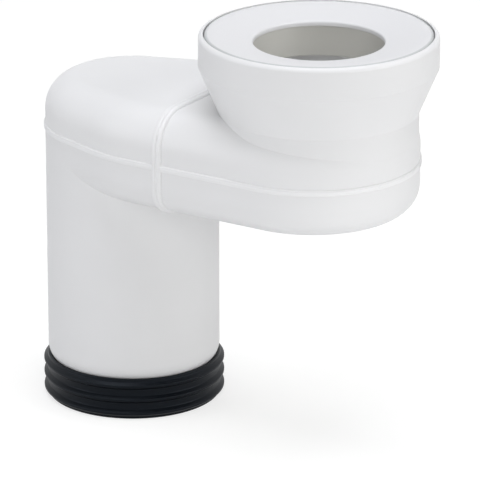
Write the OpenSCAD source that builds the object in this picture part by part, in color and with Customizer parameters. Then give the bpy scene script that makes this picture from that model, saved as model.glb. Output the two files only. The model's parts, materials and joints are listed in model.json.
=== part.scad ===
// Offset bend for a soil pipe: a spigot outlet at the bottom, a cup inlet at the top, set to one side,
// and a wide rounded chamber between them. Two mouldings meet at an upright weld, a white lip seal sits
// in the cup and a black seal ring sits under the spigot's rounded end.
// Millimetres, +Z up. The origin is on the outlet's axis, in the plane of the spigot's end face.

/* [Overall] */
// Distance between the outlet's axis and the inlet's axis
offset_x = 138; // [128:1:158]
// Height from the spigot's end to the cup's rim
height = 239.2; // [229.2:1:259.2]

/* [Outlet spigot] */
// Outer diameter of the spigot
spigot_d = 110; // [104:1:116]
// Wall of the spigot
spigot_wall = 3.6; // [3:0.1:4.4]
// Height of the rounded lead-in at the spigot's end
nose_h = 11; // [8:0.5:14]
// How far the lead-in draws in at the end
nose_in = 6; // [4:0.5:7]
// Width of the flat end face
nose_face = 2.5; // [1.5:0.1:3]
// Height at which the bore reaches its full width
nose_way_h = 8.8; // [7:0.2:10]

/* [Chamber] */
// Width of the chamber across its straight sides
chamber_w = 134; // [128:1:142]
// Height of the chamber
chamber_h = 64.5; // [60:0.5:72]
// Depth of the chamber's top below the cup's rim
chamber_drop = 48.8; // [45:0.2:55]
// Wall of the chamber and the neck
wall = 3.6; // [2.8:0.1:4.4]
// Radius of the chamber's upper edge
top_r = 22; // [16:0.5:25]
// Radius of the chamber's lower edge
bottom_r = 17.5; // [12:0.5:20]
// Angle at which the sides spread from the outlet's round end
spread = 19; // [14:0.5:24]
// Radius of the bend from the spreading side to the straight side
side_r = 82; // [60:1:90]

/* [Cup inlet] */
// Outer diameter of the neck
neck_d = 124; // [118:1:126]
// How far the chamber's end stands out past the neck
end_step = 0.4; // [0.3:0.1:1]
// Outer diameter of the cup's rim
cup_d = 148.2; // [144:0.2:156]
// Height of the straight rim
rim_h = 20; // [18:0.2:23]
// Wall of the rim
rim_wall = 3; // [2.6:0.1:4]
// Rounding of the rim's outer edge
rim_round = 2.6; // [1.5:0.1:2.6]
// Depth of the lip seal's seat below the rim
seat_depth = 17.2; // [14:0.2:18]

/* [Seam lines] */
// Width of the parting bead round the chamber
bead_w = 2.4; // [1.6:0.1:3]
// Height of the parting bead above the wall
bead_h = 1; // [0.6:0.1:1.2]
// Width of the bead's crown
crown_w = 1.4; // [1:0.1:1.8]
// Height of the wide foot under the crown
foot_h = 0.6; // [0.3:0.1:0.8]
// Distance from the weld to the neck
weld_clear = 13.4; // [10:0.2:20]
// Radius of each of the two weld beads
weld_r = 1.6; // [1.2:0.1:2]
// Depth of the weld beads' centres under the wall's face
weld_sink = 0.4; // [0.2:0.1:0.8]
// Gap between the two weld beads
weld_gap = 0.1; // [0.1:0.1:0.6]

/* [Inlet lip seal] */
// Gap between the seal and the cup's rim
groove = 0.9; // [0.5:0.1:1.4]
// How far the face falls from its outer edge, level with the rim, to the hole
face_drop = 4.8; // [3:0.2:6]
// Thickness of the face
face_t = 3; // [2:0.1:4]
// Diameter of the hole
hole_d = 81; // [74:1:88]
// Rounding of the hole's edge
hole_round = 1.2; // [0.6:0.1:1.5]
// Height of the lip round the hole
lip_h = 3.4; // [3:0.1:5]
// How far the sleeve's inside lies back from the lip
sleeve_back = 2.5; // [1.5:0.1:4]
// Length of the sleeve below the lip
sleeve_h = 19.3; // [12:0.1:22]
// How far the sleeve draws in at its foot
sleeve_taper = 1; // [0.5:0.1:2]
// Thickness of the sleeve
lip_t = 2.2; // [1.6:0.1:3]
// Thickness of the skirt that stands on the seat
skirt_t = 3.4; // [2.4:0.2:4]
// Rounding of the face's outer edge
edge_round = 0.8; // [0.5:0.1:1.5]

/* [Outlet seal ring] */
// How far the ring's lips stand out past the spigot
lip_over = 3; // [2:0.5:4]
// Height of the ring below the spigot's end face
ring_h = 22.4; // [21:0.2:28]
// Height by which the ring's mouth takes in the spigot's end
mouth_h = 4.4; // [2:0.2:5]
// Clearance between the mouth and the rounded end
mouth_gap = 0.4; // [0.3:0.05:0.6]
// How far the ring's seat reaches in under the end face
seat_in = 1.2; // [0.8:0.1:2]
// Height of the grooved wall under the seat
seat_h = 7; // [6:0.5:9]
// Distance from one fine groove to the next
fine_pitch = 2; // [1.6:0.1:2.2]
// Radius of the fine grooves
fine_r = 0.6; // [0.4:0.1:0.7]
// Depth of the hollow inside the ring
hollow_depth = 3.5; // [2:0.5:4]
// Height of the slope from the seat into the hollow
hollow_slope = 2; // [1:0.5:3]
// How far the lower lip reaches in past the seat
low_lip_in = 2.8; // [1:0.2:5]
// Thickness of the lower lip at its edge
low_lip_h = 3; // [2:0.5:5]
// Distance from one outer lip to the next
lip_pitch = 9.2; // [8:0.2:9.6]
// Depth of the hollows between the outer lips
lip_depth = 2.6; // [1.6:0.1:3]
// Half width of an outer lip at its foot
lip_base = 3.2; // [2.4:0.1:3.8]
// Width of an outer lip's flat edge
lip_land = 0.8; // [0.6:0.1:1.4]
// Rounding on both sides of that edge
lip_round = 0.5; // [0.3:0.1:0.8]

/* [Hidden] */
$fn = 96;
cut = 1;                            // how far a cutter runs past a face
lap = 0.02;                         // how far the spreading side lies inside its neighbours
over = 3;                           // extra angle that a bend runs into the spreading side
room = 5;                           // how far the blocks beside the weld reach past the chamber
core = 10;                          // where the pieces of the outlet end begin, clear of its axis
fine_grooves = 3;                   // grooves inside the ring
outer_lips = 3;                     // lips round the ring
spigot_r = spigot_d / 2;
rim_z = height;
top_z = rim_z - chamber_drop;
low_z = top_z - chamber_h;
seam_z = (top_z + low_z) / 2;
half_w = chamber_w / 2;
neck_r = neck_d / 2;
cup_r = cup_d / 2;
weld_x = offset_x - neck_r - weld_clear;
end_x = offset_x + neck_r + end_step - half_w;                // axis of the chamber's round end
side_x = ((half_w - side_r) * cos(spread) - spigot_r + side_r) / sin(spread);
slant_l = side_x * cos(spread) + (half_w - side_r) * sin(spread);  // length of the spreading side
nose_r = (nose_h * nose_h + nose_in * nose_in) / (2 * nose_in);
bore_r = spigot_r - spigot_wall;
seat_z = rim_z - seat_depth;
seal_r = cup_r - rim_wall - groove;
hole_r = hole_d / 2;
hole_z = rim_z - face_drop;
sleeve_r = hole_r + sleeve_back;
ring_r = spigot_r + lip_over;
ring_z = -ring_h;

// Section of the chamber from distance start out to distance r, drawn in by inset. Over the spigot
// it begins higher up and has no lower edge.
module edge_section(r, inset, start = 0, over_spigot = false) {
    o = r - inset;
    t = top_z - inset;
    b = over_spigot ? low_z + bottom_r / 2 : low_z + inset;
    rt = top_r - inset;
    rb = over_spigot ? 0 : bottom_r - inset;
    translate([start, b + rb]) square([o - start, t - b - rt - rb]);
    translate([start, t - rt - cut]) square([o - rt - start, rt + cut]);
    translate([o - rt, t - rt]) circle(r = rt);
    if (!over_spigot) {
        translate([start, b]) square([o - rb - start, rb + cut]);
        translate([o - rb, b + rb]) circle(r = rb);
    }
}

// The chamber, drawn in by inset: a round outlet end, two spreading sides, two bends, two straight
// sides and a round inlet end
module chamber(inset) {
    rotate_extrude() edge_section(spigot_r, inset, 0, true);
    for (side = [0, 1]) mirror([0, side, 0]) {
        rotate([0, 0, spread]) rotate([90, 0, 90])
            linear_extrude(height = slant_l) edge_section(spigot_r - lap, inset, core);
        translate([side_x, half_w - side_r, 0]) rotate([0, 0, 90])
            rotate_extrude(angle = spread + over) edge_section(side_r, inset, core);
        translate([side_x, 0, 0]) rotate([90, 0, 90])
            linear_extrude(height = end_x - side_x) edge_section(half_w, inset);
    }
    translate([core, top_r - spigot_r, low_z + bottom_r])
        cube([side_x, 2 * (spigot_r - top_r), top_z - inset - low_z - bottom_r]);
    translate([end_x, 0, 0]) rotate([0, 0, -90])
        rotate_extrude(angle = 180) edge_section(half_w, inset);
}

// Points of the outlet end's outline at the distance grow outside it, from the far left along one side
function outline(grow) = concat(
    [for (a = [180:-2:90 + spread]) (spigot_r + grow) * [cos(a), sin(a)]],
    [for (a = [spread:-1:0]) [side_x, half_w - side_r] + (side_r + grow) * [-sin(a), cos(a)]],
    [[end_x, half_w + grow]]
);

// A slab round the whole chamber at the parting line, w high, standing out by grow
module bead_slab(grow, w) {
    half = outline(grow);
    other = [for (i = [len(half) - 1:-1:1]) [half[i][0], -half[i][1]]];
    translate([0, 0, seam_z - w / 2]) {
        linear_extrude(height = w) polygon(concat(half, other));
        translate([end_x, 0, 0]) cylinder(r = half_w + grow, h = w);
    }
}

// The chamber's outside with its parting bead
module chamber_body() {
    chamber(0);
    bead_slab(foot_h, bead_w);
    bead_slab(bead_h, crown_w);
}

// Blocks that hold everything on one side of the weld
module outlet_side() {
    translate([-spigot_r - room, -half_w - room, low_z - room])
        cube([spigot_r + room + weld_x, chamber_w + 2 * room, chamber_h + 2 * room]);
}

module inlet_side() {
    translate([weld_x, -half_w - room, low_z - room])
        cube([end_x + half_w + room - weld_x, chamber_w + 2 * room, chamber_h + 2 * room]);
}

// A quarter of a torus in the plane of the weld, from start to start + 90 degrees
module weld_corner(y, z, r, start) {
    translate([0, y, z]) rotate([90, 0, 90]) rotate([0, 0, start])
        rotate_extrude(angle = 90) translate([r, 0]) circle(r = weld_r, $fn = 48);
}

// One round weld bead that follows the chamber's section at x
module weld_bead(x) {
    y_top = half_w - top_r;
    y_low = half_w - bottom_r;
    translate([x, 0, 0]) {
        for (side = [0, 1]) mirror([0, side, 0]) {
            weld_corner(y_top, top_z - top_r, top_r - weld_sink, 0);
            weld_corner(y_low, low_z + bottom_r, bottom_r - weld_sink, 270);
            translate([0, half_w - weld_sink, low_z + bottom_r])
                cylinder(r = weld_r, h = chamber_h - top_r - bottom_r, $fn = 48);
        }
        translate([0, -y_top, top_z - weld_sink]) rotate([-90, 0, 0])
            cylinder(r = weld_r, h = 2 * y_top, $fn = 48);
        translate([0, -y_low, low_z + weld_sink]) rotate([-90, 0, 0])
            cylinder(r = weld_r, h = 2 * y_low, $fn = 48);
    }
}

// Half section of the spigot's solid, with the rounded lead-in
module spigot_section() {
    translate([0, nose_h]) square([spigot_r, low_z + bottom_r + cut - nose_h]);
    intersection() {
        square([spigot_r, nose_h]);
        union() {
            translate([spigot_r - nose_r, nose_h]) circle(r = nose_r, $fn = 192);
            square([spigot_r - nose_r, nose_h]);
        }
    }
}

// Half section of the way through the spigot: straight, drawn in at the end
module spigot_way() {
    lip_r = spigot_r - nose_in - nose_face;
    polygon([
        [0, -cut], [lip_r, -cut], [lip_r, 0], [bore_r, nose_way_h],
        [bore_r, low_z + bottom_r + cut], [0, low_z + bottom_r + cut]
    ]);
}

module outlet_half() color("gainsboro") difference() {
    union() {
        intersection() {
            chamber_body();
            outlet_side();
        }
        rotate_extrude() spigot_section();
        weld_bead(weld_x - weld_r - weld_gap / 2);
    }
    chamber(wall);
    rotate_extrude() spigot_way();
}

// Half section of the neck, cone and rim
module cup_section() {
    crest_r = cup_r - rim_round;
    crest_z = rim_z - rim_round;
    polygon([
        [0, seam_z], [neck_r, seam_z], [neck_r, top_z], [cup_r, rim_z - rim_h],
        [cup_r, crest_z], [crest_r, crest_z], [crest_r, rim_z], [0, rim_z]
    ]);
    translate([crest_r, crest_z]) circle(r = rim_round, $fn = 48);
}

// Half section of the way through the neck and cup, with the seat for the lip seal
module cup_way() {
    inner_r = cup_r - rim_wall;
    neck_way = neck_r - wall;
    seat_r = inner_r - wall;
    polygon([
        [0, seam_z], [neck_way, seam_z], [neck_way, top_z], [seat_r, rim_z - rim_h],
        [seat_r, seat_z], [inner_r, seat_z], [inner_r, rim_z + cut], [0, rim_z + cut]
    ]);
}

module inlet_half() color("whitesmoke") difference() {
    union() {
        intersection() {
            chamber_body();
            inlet_side();
        }
        translate([offset_x, 0, 0]) rotate_extrude() cup_section();
        weld_bead(weld_x + weld_r + weld_gap / 2);
    }
    chamber(wall);
    translate([offset_x, 0, 0]) rotate_extrude() cup_way();
}

// White seal: dished face, skirt down to the seat, lip round the hole and a sleeve set back under it
module inlet_lip_seal() color("white") translate([offset_x, 0, 0]) rotate_extrude() {
    lip_z = hole_z - lip_h;
    foot_z = lip_z - sleeve_h;
    foot_r = sleeve_r - sleeve_taper;
    skirt_r = seal_r - skirt_t;
    edge_r = seal_r - edge_round;
    edge_z = rim_z - edge_round;
    lip_edge_r = hole_r + hole_round;
    lip_edge_z = hole_z - hole_round;
    polygon([
        [foot_r, foot_z], [foot_r + lip_t, foot_z], [sleeve_r + lip_t, lip_z],
        [sleeve_r + lip_t, hole_z - face_t], [skirt_r, edge_z - face_t], [skirt_r, seat_z],
        [seal_r, seat_z], [seal_r, edge_z], [edge_r, edge_z], [edge_r, rim_z],
        [lip_edge_r, hole_z], [lip_edge_r, lip_edge_z], [hole_r, lip_edge_z], [hole_r, lip_z],
        [sleeve_r, lip_z]
    ]);
    translate([edge_r, edge_z]) circle(r = edge_round, $fn = 48);
    translate([lip_edge_r, lip_edge_z]) circle(r = hole_round, $fn = 48);
}

// Half section of the ring's hollow: mouth round the spigot's end, seat for its end face, fine
// grooves, hollow and lower lip
module ring_way() {
    seat_r = spigot_r - nose_in - seat_in;
    lip_r = seat_r - low_lip_in;
    hollow_r = seat_r + hollow_depth;
    polygon([
        [0, ring_z - cut], [lip_r, ring_z - cut], [lip_r, ring_z + low_lip_h],
        [hollow_r, ring_z + low_lip_h + hollow_depth], [hollow_r, -seat_h - hollow_slope],
        [seat_r, -seat_h], [seat_r, mouth_h + cut], [0, mouth_h + cut]
    ]);
    intersection() {
        translate([spigot_r - nose_r, nose_h]) circle(r = nose_r + mouth_gap, $fn = 192);
        square([ring_r, mouth_h + cut]);
    }
    for (i = [1:fine_grooves]) translate([seat_r, -i * fine_pitch]) circle(r = fine_r, $fn = 24);
}

// Half section of one outer lip, with a flat edge between two rounded corners
module outer_lip(body_r) {
    edge = lip_land / 2;
    polygon([
        [body_r - cut, -lip_base], [ring_r - lip_round, -edge - lip_round], [ring_r - lip_round, -edge],
        [ring_r, -edge], [ring_r, edge], [ring_r - lip_round, edge],
        [ring_r - lip_round, edge + lip_round], [body_r - cut, lip_base]
    ]);
    for (z = [-edge, edge]) translate([ring_r - lip_round, z]) circle(r = lip_round, $fn = 32);
}

// Black ring: outer lips round a plain body, the highest level with the spigot's end face
module outlet_seal_ring() color("dimgray") rotate_extrude() difference() {
    body_r = ring_r - lip_depth;
    union() {
        translate([0, ring_z]) square([body_r, ring_h + mouth_h]);
        for (i = [0:outer_lips - 1]) translate([0, -i * lip_pitch]) outer_lip(body_r);
    }
    ring_way();
}

outlet_half();
inlet_half();
inlet_lip_seal();
outlet_seal_ring();
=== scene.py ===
"""Looks of the offset bend: its finishes, soft seals, parting bead and weld flash, the studio and the camera."""
import json
import math

import bpy
import numpy as np
from mathutils import Matrix, Vector


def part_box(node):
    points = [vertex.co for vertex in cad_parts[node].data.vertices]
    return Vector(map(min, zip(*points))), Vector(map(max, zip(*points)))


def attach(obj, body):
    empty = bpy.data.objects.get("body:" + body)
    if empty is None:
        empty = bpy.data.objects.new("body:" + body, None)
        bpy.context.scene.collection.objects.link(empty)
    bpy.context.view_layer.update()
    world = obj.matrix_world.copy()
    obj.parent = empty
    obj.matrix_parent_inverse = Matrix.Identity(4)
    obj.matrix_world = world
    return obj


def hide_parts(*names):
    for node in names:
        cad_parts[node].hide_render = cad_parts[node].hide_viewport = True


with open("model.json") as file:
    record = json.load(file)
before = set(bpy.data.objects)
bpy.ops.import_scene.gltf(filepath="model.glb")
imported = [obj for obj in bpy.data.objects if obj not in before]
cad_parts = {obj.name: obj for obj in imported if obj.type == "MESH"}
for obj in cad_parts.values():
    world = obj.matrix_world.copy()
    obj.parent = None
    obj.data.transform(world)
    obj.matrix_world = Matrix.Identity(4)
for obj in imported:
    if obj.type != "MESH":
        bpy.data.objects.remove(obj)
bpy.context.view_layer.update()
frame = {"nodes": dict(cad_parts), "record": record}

MM = 0.001

# Sizes, in metres, from the frame
seal_low, seal_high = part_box("inlet_lip_seal")
ring_low, ring_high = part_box("outlet_seal_ring")
mounts = {mount["name"]: mount for mount in frame["record"]["mounts"]}
axis_x = (seal_low.x + seal_high.x) / 2              # the inlet's axis
seal_r = (seal_high.x - seal_low.x) / 2
hole_r = mounts["inlet_hole"]["dims"]["r_mm"] * MM
ring_r = (ring_high.x - ring_low.x) / 2
end_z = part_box("outlet_half")[0].z                   # the spigot's end face

# Sizes that the frame doesn't state, in metres, the same as in the part's source
SPIGOT_R = 55 * MM
CHAMBER_LOW = end_z + 125.9 * MM
CHAMBER_TOP = end_z + 190.4 * MM
HALF_W = 67 * MM                     # half of the chamber's width
TOP_R = 22 * MM                      # rounding of the chamber's upper edge
BOTTOM_R = 17.5 * MM                 # and of its lower edge
SPREAD = math.radians(19)            # from the outlet's round end to the straight sides
SIDE_R = 82 * MM                     # radius of the bends between the spreading and the straight sides
BEND_X = 39.37 * MM                  # centre of those bends
END_X = 133.4 * MM                   # axis of the chamber's round end
WELD_X = 62.6 * MM
WELD_STEP = 1.65 * MM                # from the weld to the middle of each roll beside it

# Sizes of the scene's own
BEAD_OUT = 1.05 * MM                 # how far the parting bead stands out
BEAD_HALF = 1.95 * MM                # half of its height
BEAD_Z = (CHAMBER_LOW + CHAMBER_TOP) / 2 - 0.5 * MM
SWELL = 0.022                        # share by which the weld's rolls grow and shrink along their length
LIP_PAINTED_SHADE = (9 * MM, 7 * MM)         # depths below the seal's top between which its inside is painted darker: painted shade
EDGE_PAINTED_SHADE = (2 * MM, 1 * MM)        # distances from the seal's edge between which its face is painted darker: painted shade of the groove
AROUND = 288                         # steps round a turned piece
ARC_STEPS = 64                       # steps along one arc of a path
PATH_STEP = 1.5 * MM                 # length of a step along a whole path


# Materials
def linear(hex_colour):
    """sRGB hex to linear RGBA: a channel under 0.04045 is divided by 12.92, any other goes up by power 2.4."""
    channels = np.array([int(hex_colour[i:i + 2], 16) for i in (1, 3, 5)]) / 255
    out = np.where(channels <= 0.04045, channels / 12.92, ((channels + 0.055) / 1.055) ** 2.4)
    return (*out, 1.0)


def add(tree, kind, inputs=None, **settings):
    """Adds a node, sets its settings, and links or fills its inputs."""
    made = tree.nodes.new(kind)
    for name, value in settings.items():
        setattr(made, name, value)
    for name, value in (inputs or {}).items():
        if isinstance(value, bpy.types.NodeSocket):
            tree.links.new(value, made.inputs[name])
        else:
            made.inputs[name].default_value = value
    return made


def new_material(name):
    """A material with an empty node tree, and that tree."""
    material = bpy.data.materials.new(name)
    material.use_nodes = True
    tree = material.node_tree
    tree.nodes.clear()
    return material, tree


def seen_ray(tree):
    """1 for a camera, glossy or transmission ray, and 0 for the diffuse rays that carry light to the object."""
    path = add(tree, "ShaderNodeLightPath").outputs
    seen = add(tree, "ShaderNodeMath", {0: path["Is Camera Ray"], 1: path["Is Glossy Ray"]}, operation="MAXIMUM")
    seen = add(tree, "ShaderNodeMath", {0: seen.outputs[0], 1: path["Is Transmission Ray"]}, operation="MAXIMUM")
    return seen.outputs[0]


def satin_polypropylene(name, dark, light):
    """Off-white polypropylene, injection moulded: satin, with the mould's fine grain and a faint cloudiness.

    The flash at the weld and the parting line is the same plastic, painted a little lighter: a painted highlight
    for the light that the thin rolls catch.
    """
    material, tree = new_material(name)
    place = add(tree, "ShaderNodeTexCoord").outputs["Object"]
    flow = add(tree, "ShaderNodeTexNoise", {"Vector": place, "Scale": 1 / (45 * MM), "Detail": 2.0})
    tone = add(tree, "ShaderNodeMix", {"Factor": flow.outputs["Fac"], "A": linear(dark),
                                       "B": linear(light)}, data_type="RGBA")
    grain = add(tree, "ShaderNodeTexNoise", {"Vector": place, "Scale": 1 / (0.9 * MM), "Detail": 3.0})
    sheen = add(tree, "ShaderNodeMapRange", {"Value": grain.outputs["Fac"], "From Min": 0.3,
                                             "From Max": 0.7, "To Min": 0.42, "To Max": 0.5})
    bump = add(tree, "ShaderNodeBump", {"Height": grain.outputs["Fac"], "Strength": 0.08,
                                        "Distance": 0.15 * MM})
    shader = add(tree, "ShaderNodeBsdfPrincipled", {
        "Base Color": tone.outputs["Result"], "Roughness": sheen.outputs["Result"],
        "Normal": bump.outputs["Normal"], "IOR": 1.49})
    add(tree, "ShaderNodeOutputMaterial", {"Surface": shader.outputs["BSDF"]})
    return material


def soft_elastomer_painted_shade():
    """White thermoplastic elastomer, injection moulded: smooth and a touch cooler than the body.

    Below the hole's lip it is painted warm grey: painted shade for the wall inside the sleeve. Its rolled outer
    edge, which dips into the cup, is painted light grey: painted shade of the groove, a thin line round the face.
    """
    material, tree = new_material("soft_elastomer_painted_shade")
    place = add(tree, "ShaderNodeTexCoord").outputs["Object"]
    height = add(tree, "ShaderNodeSeparateXYZ", {"Vector": place}).outputs["Z"]
    # Painted shade: from the lip's depth down, the inside of the sleeve is painted warm grey
    inside = add(tree, "ShaderNodeMapRange", {
        "Value": height, "From Min": seal_high.z - LIP_PAINTED_SHADE[0], "From Max": seal_high.z - LIP_PAINTED_SHADE[1]})
    tone = add(tree, "ShaderNodeMix", {"Factor": inside.outputs["Result"], "A": linear("#C9C8C2"),
                                       "B": linear("#DEDEDF")}, data_type="RGBA")
    # Painted shade: near its rolled edge the face is painted light grey, for the shade in the groove under the
    # cup's rim
    flat = add(tree, "ShaderNodeVectorMath", {0: place, 1: (1, 1, 0), 2: (-axis_x, 0, 0)},
               operation="MULTIPLY_ADD")
    out = add(tree, "ShaderNodeVectorMath", {0: flat.outputs["Vector"]}, operation="LENGTH")
    edge = add(tree, "ShaderNodeMapRange", {
        "Value": out.outputs["Value"], "From Min": seal_r - EDGE_PAINTED_SHADE[0], "From Max": seal_r - EDGE_PAINTED_SHADE[1]})
    tone = add(tree, "ShaderNodeMix", {"Factor": edge.outputs["Result"], "A": tone.outputs["Result"],
                                       "B": linear("#C3C5C5")}, data_type="RGBA")
    grain = add(tree, "ShaderNodeTexNoise", {"Vector": place, "Scale": 1 / (1.5 * MM), "Detail": 2.0})
    bump = add(tree, "ShaderNodeBump", {"Height": grain.outputs["Fac"], "Strength": 0.05,
                                        "Distance": 0.1 * MM})
    shader = add(tree, "ShaderNodeBsdfPrincipled", {
        "Base Color": tone.outputs["Result"], "Roughness": 0.5, "Normal": bump.outputs["Normal"], "IOR": 1.48})
    add(tree, "ShaderNodeOutputMaterial", {"Surface": shader.outputs["BSDF"]})
    return material


def moulded_epdm():
    """Black EPDM rubber, compression moulded: satin, with a cold sheen on its edges."""
    material, tree = new_material("moulded_epdm_rubber")
    place = add(tree, "ShaderNodeTexCoord").outputs["Object"]
    grain = add(tree, "ShaderNodeTexNoise", {"Vector": place, "Scale": 1 / (1.2 * MM), "Detail": 3.0})
    bump = add(tree, "ShaderNodeBump", {"Height": grain.outputs["Fac"], "Strength": 0.1,
                                        "Distance": 0.15 * MM})
    shader = add(tree, "ShaderNodeBsdfPrincipled", {
        "Base Color": linear("#0B0E12"), "Roughness": 0.38, "Normal": bump.outputs["Normal"], "IOR": 1.52,
        "Specular IOR Level": 0.13, "Specular Tint": linear("#D8E4F4")})
    add(tree, "ShaderNodeOutputMaterial", {"Surface": shader.outputs["BSDF"]})
    return material


# Surfaces
def rounded(corners, steps=8):
    """Closed section with a rounding at each corner, from rows of across, up and rounding, in millimetres.

    A corner's arc touches both of its sides: its centre lies on the line that halves the corner, at
    rounding / sin(half the corner's angle) from the corner.
    """
    table = np.array(corners, dtype=float) * MM
    point, size = table[:, :2], table[:, 2:]
    to_last = np.roll(point, 1, axis=0) - point
    to_next = np.roll(point, -1, axis=0) - point
    to_last /= np.linalg.norm(to_last, axis=1, keepdims=True)
    to_next /= np.linalg.norm(to_next, axis=1, keepdims=True)
    inward = to_last + to_next
    inward /= np.linalg.norm(inward, axis=1, keepdims=True)
    half = np.arccos(np.sum(to_last * inward, axis=1, keepdims=True))
    centre = point + inward * size / np.sin(half)
    start = point + to_last * size / np.tan(half) - centre
    end = point + to_next * size / np.tan(half) - centre
    first = np.arctan2(start[:, 1:], start[:, :1])
    sweep = np.arctan2(end[:, 1:], end[:, :1]) - first
    sweep = (sweep + np.pi) % (2 * np.pi) - np.pi
    angle = first + sweep * np.linspace(0, 1, steps + 1)
    arcs = centre[:, None, :] + size[:, None, :] * np.stack([np.cos(angle), np.sin(angle)], axis=2)
    return arcs.reshape(-1, 2)


def closed_grid(name, points):
    """Solid whose skin is a grid that closes in both directions: each face joins four neighbours.

    The faces are turned over where the volume that they enclose, a sixth of the sum of each triangle's
    triple product, comes out negative, so they always face outwards.
    """
    rows, columns = points.shape[:2]
    index = np.arange(rows * columns).reshape(rows, columns)
    below = np.roll(index, -1, axis=0)
    faces = np.stack([index, np.roll(index, -1, axis=1), np.roll(below, -1, axis=1), below], axis=2)
    faces = faces.reshape(-1, 4)
    flat = points.reshape(-1, 3)
    a, b, c, d = (flat[faces[:, i]] for i in range(4))
    if np.sum(a * np.cross(b, c)) + np.sum(a * np.cross(c, d)) < 0:
        faces = faces[:, ::-1]
    mesh = bpy.data.meshes.new(name)
    mesh.from_pydata(flat.tolist(), [], faces.tolist())
    mesh.polygons.foreach_set("use_smooth", np.ones(len(faces), dtype=bool))
    mesh.update()
    made = bpy.data.objects.new(name, mesh)
    bpy.context.scene.collection.objects.link(made)
    return made


def turned(name, section, centre_x):
    """Solid of revolution: (angle, i) is at (centre + r_i cos angle, r_i sin angle, z_i)."""
    angle = np.linspace(0, 2 * np.pi, AROUND, endpoint=False)[:, None]
    r, z = section[:, 0], section[:, 1]
    return closed_grid(name, np.stack([centre_x + r * np.cos(angle), r * np.sin(angle), z + 0 * angle], axis=2))


def ring_path(arcs):
    """Closed path through arcs, given as rows of centre, radius, first and last angle, in even steps.

    From one arc's end to the next arc's start it runs straight. Places and outward directions are read
    off at equal lengths along it, and come back with each place's share of the whole length.
    """
    arcs = np.array(arcs)
    angle = arcs[:, 3:4] + (arcs[:, 4:] - arcs[:, 3:4]) * np.linspace(0, 1, ARC_STEPS + 1)
    outward = np.stack([np.cos(angle), np.sin(angle)], axis=2)
    place = (arcs[:, None, :2] + arcs[:, None, 2:3] * outward).reshape(-1, 2)
    outward = outward.reshape(-1, 2)
    place, outward = (np.concatenate([rows, rows[:1]]) for rows in (place, outward))
    length = np.concatenate([[0], np.cumsum(np.linalg.norm(np.diff(place, axis=0), axis=1))])
    at = np.linspace(0, length[-1], int(length[-1] / PATH_STEP), endpoint=False)
    place = np.stack([np.interp(at, length, place[:, i]) for i in (0, 1)], axis=1)
    outward = np.stack([np.interp(at, length, outward[:, i]) for i in (0, 1)], axis=1)
    return place, outward / np.linalg.norm(outward, axis=1, keepdims=True), at / length[-1]


def carried(name, arcs, level, section, upright=False, swell=0.0):
    """Closed ring: (i, j) is place_i + outward_i * across_j in the path's plane, and level + up_j beside it.

    The section grows and shrinks by the factor 1 + swell * (sin(2 pi 23 s) + 0.7 sin(2 pi 61 s + 2)), with s
    the share of the path's length. An upright path lies across X, and any other lies level.
    """
    place, outward, share = ring_path(arcs)
    size = 1 + swell * (np.sin(2 * np.pi * 23 * share) + 0.7 * np.sin(2 * np.pi * 61 * share + 2))
    flat = place[:, None, :] + outward[:, None, :] * (section[:, 0] * size[:, None])[:, :, None]
    beside = level + section[:, 1] * size[:, None]
    order = [beside, flat[:, :, 0], flat[:, :, 1]] if upright else [flat[:, :, 0], flat[:, :, 1], beside]
    return closed_grid(name, np.stack(order, axis=2))


def soft_lip_seal():
    """White seal, turned about the inlet's axis: dished face with a flat rolled edge, skirt, lip and sleeve.

    The rows are distance from the axis, height and rounding in mm: up the sleeve's outside, down the skirt's
    inside, up the edge, and over the face to the hole and the lip.
    """
    top, foot = seal_high.z / MM, seal_low.z / MM
    edge, hole = seal_r / MM, hole_r / MM
    skirt, seat = edge - 3.4, top - 17.2             # the skirt's inside and its foot
    dish, lip_foot = top - 4.8, top - 8.2            # the face beside the hole, and the lip's underside
    return turned("lip_seal", rounded([
        (hole + 1.5, foot, 0.8), (hole + 3.7, foot, 0.8), (hole + 4.7, top - 7.8, 1.5),
        (skirt, top - 3.8, 2), (skirt, seat, 0.4), (edge, seat, 0.4), (edge + 0.35, top, 1.8),
        (edge - 4.5, top, 15), (hole, dish, 1.3), (hole, lip_foot, 1), (hole + 2.5, lip_foot, 0.6)]),
        axis_x)


def soft_ring():
    """Black ring, turned about the outlet's axis: three outer lips, fine grooves, hollow and lower lip.

    The rows are distance from the axis, height and rounding in mm, down the outside and up the inside.
    """
    lip, end = ring_r / MM, end_z / MM
    low, high = ring_low.z / MM, ring_high.z / MM
    wall, seat, hollow, lower_lip = lip - 2.6, lip - 10.2, lip - 6.7, lip - 13
    outside = [(wall, high, 0.6)]
    for crest in (end, end - 9.2, end - 18.4):
        outside += [(wall, crest + 2.4, 1.2), (lip, crest + 0.7, 0.6), (lip, crest - 0.7, 0.6),
                    (wall, crest - 2.4, 1.2)]
    outside += [(wall, low, 0.5), (lower_lip, low, 0.8), (lower_lip, low + 3, 0.8)]
    inside = [(hollow, low + 6.5, 1.5), (hollow, end - 9, 1)]
    for groove in (end - 6, end - 4, end - 2):
        inside += [(seat, groove - 0.6, 0.15), (seat + 0.6, groove, 0.35), (seat, groove + 0.6, 0.15)]
    inside += [(seat, end, 0.2), (lip - 8.29, end, 0.2), (lip - 5.87, end + 2.2, 3), (lip - 4.33, high, 0.4)]
    return turned("seal_ring", rounded(outside + inside, 6), 0.0)


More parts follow.
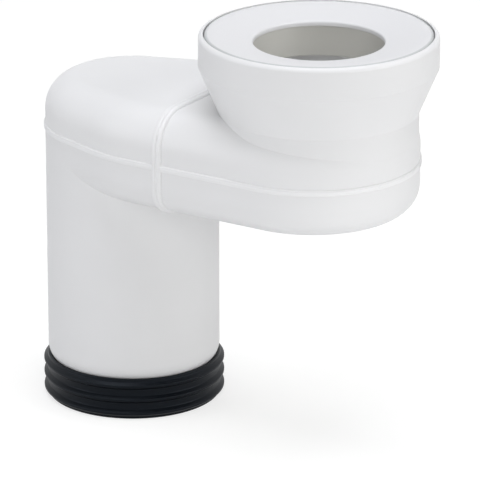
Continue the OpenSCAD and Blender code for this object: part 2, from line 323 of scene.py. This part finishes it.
def parting_bead():
    """Bead along the mould's parting line, whose section is a rounded oblong.

    In units of its two half sizes, across^2.5 + up^2.5 = 1.
    """
    t = np.linspace(0, 2 * np.pi, 24, endpoint=False)
    circle = np.stack([np.cos(t), np.sin(t)], axis=1)
    oval = [BEAD_OUT, BEAD_HALF] * np.sign(circle) * np.abs(circle) ** (2 / 2.5)
    quarter = math.pi / 2
    return carried("parting_bead", [
        (0, 0, SPIGOT_R, quarter + SPREAD, 3 * quarter - SPREAD),
        (BEND_X, SIDE_R - HALF_W, SIDE_R, 3 * quarter - SPREAD, 3 * quarter),
        (END_X, 0, HALF_W, 3 * quarter, 5 * quarter),
        (BEND_X, HALF_W - SIDE_R, SIDE_R, 5 * quarter, 5 * quarter + SPREAD)],
        BEAD_Z, oval)


def weld_flash(name, side):
    """One of the two rolls of plastic that the hot-plate weld squeezes out, a little uneven along its length.

    Its section is a quarter circle down to the wall, and a shallow slope down to where the two rolls meet.
    """
    roll = rounded([(-1.2, -1.62, 0.1), (0.95, -1.62, 0.15), (1.55, -0.75, 0.6), (1.55, 1.7, 1.7),
                    (-1.2, 1.7, 0.1)], 6) * [1, side]
    y_top, z_top = HALF_W - TOP_R, CHAMBER_TOP - TOP_R
    y_low, z_low = HALF_W - BOTTOM_R, CHAMBER_LOW + BOTTOM_R
    quarter = math.pi / 2
    return carried(name, [
        (y_top, z_top, TOP_R, 0, quarter), (-y_top, z_top, TOP_R, quarter, 2 * quarter),
        (-y_low, z_low, BOTTOM_R, 2 * quarter, 3 * quarter), (y_low, z_low, BOTTOM_R, 3 * quarter, 4 * quarter)],
        WELD_X + side * WELD_STEP, roll, upright=True, swell=SWELL)


def dress(obj, material):
    """Gives an object one material, in place of those that it has."""
    obj.data.materials.clear()
    obj.data.materials.append(material)


# The object
body_finish = satin_polypropylene("moulded_polypropylene", "#E3E3E3", "#E7E7E7")
# Painted highlight: the weld's rolls and the parting bead get a lighter copy of the body's plastic
flash_painted_highlight = satin_polypropylene("polypropylene_flash_painted_lighter", "#E9E9E9", "#EDEDED")
dress(frame["nodes"]["outlet_half"], body_finish)
dress(frame["nodes"]["inlet_half"], body_finish)

lip_seal = soft_lip_seal()
dress(lip_seal, soft_elastomer_painted_shade())
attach(lip_seal, "root")
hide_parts("inlet_lip_seal")

seal_ring = soft_ring()
dress(seal_ring, moulded_epdm())
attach(seal_ring, "root")
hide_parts("outlet_seal_ring")

# The rolls and the bead take the lighter copy, a painted highlight
for trim in (parting_bead(), weld_flash("weld_flash_outlet", -1), weld_flash("weld_flash_inlet", 1)):
    dress(trim, flash_painted_highlight)
    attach(trim, "root")

# Camera
TURN = math.radians(32.46)          # from the object's front round to its inlet side
RISE = math.radians(19.70)          # above level
FOCAL, SENSOR = 337.5, 36           # mm, a long lens
DISTANCE = 2860.5 * MM
AIM_HEIGHT = 120 * MM               # of the aim above the spigot's end, before the two shifts in the picture
AIM_ACROSS = 68.15 * MM
AIM_UP = -39.16 * MM

right = Vector((math.cos(TURN), math.sin(TURN), 0))
front = Vector((math.sin(TURN), -math.cos(TURN), 0))
back_to_camera = math.cos(RISE) * front + math.sin(RISE) * Vector((0, 0, 1))
up = math.cos(RISE) * Vector((0, 0, 1)) - math.sin(RISE) * front
middle = Vector((axis_x / 2, 0, end_z + AIM_HEIGHT))
aim = Vector((0, 0, end_z + AIM_HEIGHT)) + AIM_ACROSS * right + AIM_UP * up

camera_data = bpy.data.cameras.new("camera")
camera_data.lens = FOCAL
camera_data.sensor_width = SENSOR
camera_data.clip_end = 50            # metres, past the floor's far edge
camera = bpy.data.objects.new("camera", camera_data)
camera.matrix_world = Matrix.Translation(aim + DISTANCE * back_to_camera) @ Matrix(
    (right, up, back_to_camera)).transposed().to_4x4()
bpy.context.scene.collection.objects.link(camera)
bpy.context.scene.camera = camera


# Studio
def lamp(name, along_right, along_front, height, width, power, aim=middle, spread=180, tint=(1, 1, 1),
         shine=True):
    """A square area lamp that stands at a distance along the picture's right and front and faces its aim.

    Distances, height and width are in metres and the power in watts. A lamp without shine gives no
    highlight, so that the tops of pale pieces don't clip when seen from behind.
    """
    data = bpy.data.lights.new(name, "AREA")
    data.size = width
    data.energy = power
    data.color = tint
    data.spread = math.radians(spread)
    made = bpy.data.objects.new(name, data)
    made.location = along_right * right + along_front * front + Vector((axis_x / 2, 0, height))
    made.rotation_euler = (aim - made.location).to_track_quat("-Z", "Y").to_euler()
    made.visible_camera = False
    made.visible_glossy = shine
    bpy.context.scene.collection.objects.link(made)


COOL = (0.955, 0.965, 1.0)           # a faint cold tint, from above and from the left
cup = Vector((axis_x, 0, seal_low.z))
lamp("overhead", 0.0, 0.0, 2.6, 2.0, 51.4, tint=COOL)
lamp("right_side", 2.2, 0.6, 1.0, 1.8, 24.3)
lamp("left_side", -2.2, 0.6, 0.75, 1.6, 18.6, tint=COOL)
lamp("front", 0.0, 2.6, 1.0, 1.8, 23.8, shine=False)
lamp("back", 0.0, -2.6, 1.0, 1.8, 8.0, shine=False)
lamp("low_right", 1.6, 2.0, 0.3, 1.6, 4.4)
lamp("under", 0.12, 0.2, -0.015, 0.25, 0.093, cup, 120)      # from the floor, up to the cup's underside

# The light that the thin white walls let through to the inside: it comes from below the seal's sleeve
INNER_DOWN, INNER_RIGHT = 12 * MM, 50 * MM
inner_data = bpy.data.lights.new("through_the_walls", "POINT")
inner_data.shadow_soft_size = 10 * MM
inner_data.energy = 0.024
inner = bpy.data.objects.new("through_the_walls", inner_data)
inner.location = cup - Vector((0, 0, INNER_DOWN)) + INNER_RIGHT * right
inner.visible_camera = False
bpy.context.scene.collection.objects.link(inner)

# The white surroundings show and mirror, and give no light of their own
world = bpy.data.worlds.new("studio")
bpy.context.scene.world = world
world.use_nodes = True
world.node_tree.nodes.clear()
sky = add(world.node_tree, "ShaderNodeBackground", {"Color": (1, 1, 1, 1), "Strength": seen_ray(world.node_tree)})
add(world.node_tree, "ShaderNodeOutputWorld", {"Surface": sky.outputs["Background"]})


FLOOR_HALF = 6.0                     # metres
NEAR, FAR = 0.9, 2.6                 # metres from the outlet's foot
NEAR_GLOW, FAR_GLOW = 0.7, 1.0       # the floor's own light there


def pale_floor():
    """Matt white floor: camera, glossy and transmission rays see it nearly self-lit, so only shadow darkens it.

    Its own light grows from the near to the far glow, where the lamps fade, so that it stays white. Light
    that bounces from it onto the object meets plain white card.
    """
    material, tree = new_material("matt_white_floor")
    place = add(tree, "ShaderNodeTexCoord").outputs["Object"]
    away = add(tree, "ShaderNodeVectorMath", {0: place}, operation="LENGTH")
    glow = add(tree, "ShaderNodeMapRange", {"Value": away.outputs["Value"], "From Min": NEAR, "From Max": FAR,
                                            "To Min": NEAR_GLOW, "To Max": FAR_GLOW})
    light = add(tree, "ShaderNodeEmission", {"Color": (1, 1, 1, 1), "Strength": glow.outputs["Result"]})
    matt = add(tree, "ShaderNodeBsdfDiffuse", {"Color": linear("#A8A8A6")})
    lit = add(tree, "ShaderNodeAddShader", {0: matt.outputs["BSDF"], 1: light.outputs["Emission"]})
    card = add(tree, "ShaderNodeBsdfDiffuse", {"Color": linear("#DADADA")})
    mix = add(tree, "ShaderNodeMixShader", {0: seen_ray(tree), 1: card.outputs["BSDF"], 2: lit.outputs["Shader"]})
    add(tree, "ShaderNodeOutputMaterial", {"Surface": mix.outputs["Shader"]})
    return material


floor_z = ring_low.z
floor_mesh = bpy.data.meshes.new("floor")
corners = ((-1, -1), (1, -1), (1, 1), (-1, 1))
floor_mesh.from_pydata([(x * FLOOR_HALF, y * FLOOR_HALF, floor_z) for x, y in corners], [], [(0, 1, 2, 3)])
floor_mesh.materials.append(pale_floor())
floor = bpy.data.objects.new("floor", floor_mesh)
bpy.context.scene.collection.objects.link(floor)

bpy.context.scene.view_settings.view_transform = "Standard"
